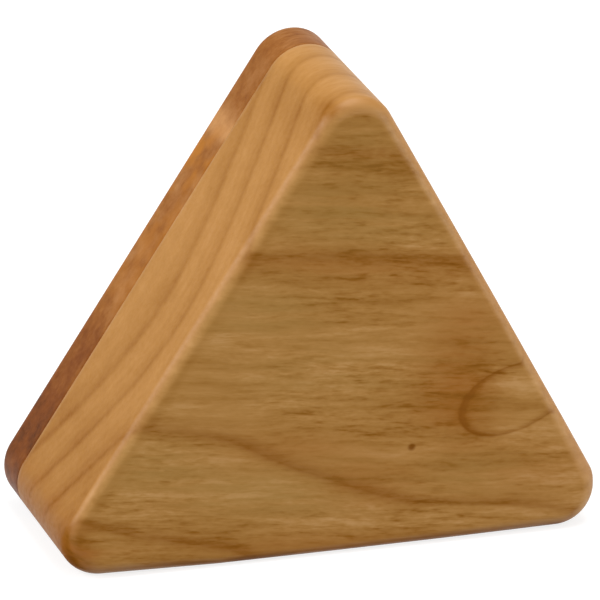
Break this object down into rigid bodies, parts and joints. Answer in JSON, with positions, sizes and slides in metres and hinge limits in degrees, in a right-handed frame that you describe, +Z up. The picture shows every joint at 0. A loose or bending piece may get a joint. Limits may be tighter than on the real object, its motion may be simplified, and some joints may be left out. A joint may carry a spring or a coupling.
{
  "type": "triangular wooden shaker",
  "caption": "Hand-held triangular wooden shaker: softly rounded hollow hardwood body closed by a glued rear plate, with loose steel shot that rattles inside.",
  "frame": {"origin": "middle of the base, on the plane it stands on", "axes": "+X to the right across the base, +Y from the front face to the rear face, +Z up to the apex"},
  "size_m": [0.112, 0.041, 0.097],
  "materials": {
    "body_wood": "satin clear lacquer",
    "plate_wood": "satin clear lacquer",
    "steel_shot": "bright ground steel ball"
  },
  "bodies": {
    "body": {"body_block": "body_wood", "rear_plate": "plate_wood"},
    "shot_01": {"shot_01": "steel_shot"},
    "shot_02": {"shot_02": "steel_shot"},
    "shot_03": {"shot_03": "steel_shot"},
    "shot_04": {"shot_04": "steel_shot"},
    "shot_05": {"shot_05": "steel_shot"},
    "shot_06": {"shot_06": "steel_shot"},
    "shot_07": {"shot_07": "steel_shot"},
    "shot_08": {"shot_08": "steel_shot"},
    "shot_09": {"shot_09": "steel_shot"},
    "shot_10": {"shot_10": "steel_shot"},
    "shot_11": {"shot_11": "steel_shot"},
    "shot_12": {"shot_12": "steel_shot"},
    "shot_13": {"shot_13": "steel_shot"},
    "shot_14": {"shot_14": "steel_shot"},
    "shot_15": {"shot_15": "steel_shot"},
    "shot_16": {"shot_16": "steel_shot"},
    "shot_17": {"shot_17": "steel_shot"},
    "shot_18": {"shot_18": "steel_shot"},
    "shot_19": {"shot_19": "steel_shot"},
    "shot_20": {"shot_20": "steel_shot"},
    "shot_21": {"shot_21": "steel_shot"},
    "shot_22": {"shot_22": "steel_shot"},
    "shot_23": {"shot_23": "steel_shot"},
    "shot_24": {"shot_24": "steel_shot"},
    "shot_25": {"shot_25": "steel_shot"},
    "shot_26": {"shot_26": "steel_shot"},
    "shot_27": {"shot_27": "steel_shot"},
    "shot_28": {"shot_28": "steel_shot"},
    "shot_29": {"shot_29": "steel_shot"},
    "shot_30": {"shot_30": "steel_shot"},
    "shot_31": {"shot_31": "steel_shot"},
    "shot_32": {"shot_32": "steel_shot"},
    "shot_33": {"shot_33": "steel_shot"},
    "shot_34": {"shot_34": "steel_shot"},
    "shot_35": {"shot_35": "steel_shot"},
    "shot_36": {"shot_36": "steel_shot"},
    "shot_37": {"shot_37": "steel_shot"},
    "shot_38": {"shot_38": "steel_shot"},
    "shot_39": {"shot_39": "steel_shot"},
    "shot_40": {"shot_40": "steel_shot"}
  },
  "joints": [
    {"name": "shot_01_rise", "type": "slide", "parent": "body", "child": "shot_01", "axis": [0, 0, 1], "range_m": [0, 0.01302]},
    {"name": "shot_02_rise", "type": "slide", "parent": "body", "child": "shot_02", "axis": [0, 0, 1], "range_m": [0, 0.02744]},
    {"name": "shot_03_rise", "type": "slide", "parent": "body", "child": "shot_03", "axis": [0, 0, 1], "range_m": [0, 0.0366]},
    {"name": "shot_04_rise", "type": "slide", "parent": "body", "child": "shot_04", "axis": [0, 0, 1], "range_m": [0, 0.05351]},
    {"name": "shot_05_rise", "type": "slide", "parent": "body", "child": "shot_05", "axis": [0, 0, 1], "range_m": [0, 0.06425]},
    {"name": "shot_06_rise", "type": "slide", "parent": "body", "child": "shot_06", "axis": [0, 0, 1], "range_m": [0, 0.06584]},
    {"name": "shot_07_rise", "type": "slide", "parent": "body", "child": "shot_07", "axis": [0, 0, 1], "range_m": [0, 0.04957]},
    {"name": "shot_08_rise", "type": "slide", "parent": "body", "child": "shot_08", "axis": [0, 0, 1], "range_m": [0, 0.04082]},
    {"name": "shot_09_rise", "type": "slide", "parent": "body", "child": "shot_09", "axis": [0, 0, 1], "range_m": [0, 0.02516]},
    {"name": "shot_10_rise", "type": "slide", "parent": "body", "child": "shot_10", "axis": [0, 0, 1], "range_m": [0, 0.01216]},
    {"name": "shot_11_rise", "type": "slide", "parent": "body", "child": "shot_11", "axis": [0, 0, 1], "range_m": [0, 0.01099]},
    {"name": "shot_12_rise", "type": "slide", "parent": "body", "child": "shot_12", "axis": [0, 0, 1], "range_m": [0, 0.02806]},
    {"name": "shot_13_rise", "type": "slide", "parent": "body", "child": "shot_13", "axis": [0, 0, 1], "range_m": [0, 0.03771]},
    {"name": "shot_14_rise", "type": "slide", "parent": "body", "child": "shot_14", "axis": [0, 0, 1], "range_m": [0, 0.05125]},
    {"name": "shot_15_rise", "type": "slide", "parent": "body", "child": "shot_15", "axis": [0, 0, 1], "range_m": [0, 0.06641]},
    {"name": "shot_16_rise", "type": "slide", "parent": "body", "child": "shot_16", "axis": [0, 0, 1], "range_m": [0, 0.06667]},
    {"name": "shot_17_rise", "type": "slide", "parent": "body", "child": "shot_17", "axis": [0, 0, 1], "range_m": [0, 0.05029]},
    {"name": "shot_18_rise", "type": "slide", "parent": "body", "child": "shot_18", "axis": [0, 0, 1], "range_m": [0, 0.03873]},
    {"name": "shot_19_rise", "type": "slide", "parent": "body", "child": "shot_19", "axis": [0, 0, 1], "range_m": [0, 0.02751]},
    {"name": "shot_20_rise", "type": "slide", "parent": "body", "child": "shot_20", "axis": [0, 0, 1], "range_m": [0, 0.01078]},
    {"name": "shot_21_rise", "type": "slide", "parent": "body", "child": "shot_21", "axis": [0, 0, 1], "range_m": [0, 0.0113]},
    {"name": "shot_22_rise", "type": "slide", "parent": "body", "child": "shot_22", "axis": [0, 0, 1], "range_m": [0, 0.02622]},
    {"name": "shot_23_rise", "type": "slide", "parent": "body", "child": "shot_23", "axis": [0, 0, 1], "range_m": [0, 0.04011]},
    {"name": "shot_24_rise", "type": "slide", "parent": "body", "child": "shot_24", "axis": [0, 0, 1], "range_m": [0, 0.04955]},
    {"name": "shot_25_rise", "type": "slide", "parent": "body", "child": "shot_25", "axis": [0, 0, 1], "range_m": [0, 0.06649]},
    {"name": "shot_26_rise", "type": "slide", "parent": "body", "child": "shot_26", "axis": [0, 0, 1], "range_m": [0, 0.06531]},
    {"name": "shot_27_rise", "type": "slide", "parent": "body", "child": "shot_27", "axis": [0, 0, 1], "range_m": [0, 0.05268]},
    {"name": "shot_28_rise", "type": "slide", "parent": "body", "child": "shot_28", "axis": [0, 0, 1], "range_m": [0, 0.03676]},
    {"name": "shot_29_rise", "type": "slide", "parent": "body", "child": "shot_29", "axis": [0, 0, 1], "range_m": [0, 0.02803]},
    {"name": "shot_30_rise", "type": "slide", "parent": "body", "child": "shot_30", "axis": [0, 0, 1], "range_m": [0, 0.01198]},
    {"name": "shot_31_rise", "type": "slide", "parent": "body", "child": "shot_31", "axis": [0, 0, 1], "range_m": [0, 0.0136]},
    {"name": "shot_32_rise", "type": "slide", "parent": "body", "child": "shot_32", "axis": [0, 0, 1], "range_m": [0, 0.02403]},
    {"name": "shot_33_rise", "type": "slide", "parent": "body", "child": "shot_33", "axis": [0, 0, 1], "range_m": [0, 0.04104]},
    {"name": "shot_34_rise", "type": "slide", "parent": "body", "child": "shot_34", "axis": [0, 0, 1], "range_m": [0, 0.05037]},
    {"name": "shot_35_rise", "type": "slide", "parent": "body", "child": "shot_35", "axis": [0, 0, 1], "range_m": [0, 0.06444]},
    {"name": "shot_36_rise", "type": "slide", "parent": "body", "child": "shot_36", "axis": [0, 0, 1], "range_m": [0, 0.06299]},
    {"name": "shot_37_rise", "type": "slide", "parent": "body", "child": "shot_37", "axis": [0, 0, 1], "range_m": [0, 0.05398]},
    {"name": "shot_38_rise", "type": "slide", "parent": "body", "child": "shot_38", "axis": [0, 0, 1], "range_m": [0, 0.03718]},
    {"name": "shot_39_rise", "type": "slide", "parent": "body", "child": "shot_39", "axis": [0, 0, 1], "range_m": [0, 0.02612]},
    {"name": "shot_40_rise", "type": "slide", "parent": "body", "child": "shot_40", "axis": [0, 0, 1], "range_m": [0, 0.01438]}
  ]
}
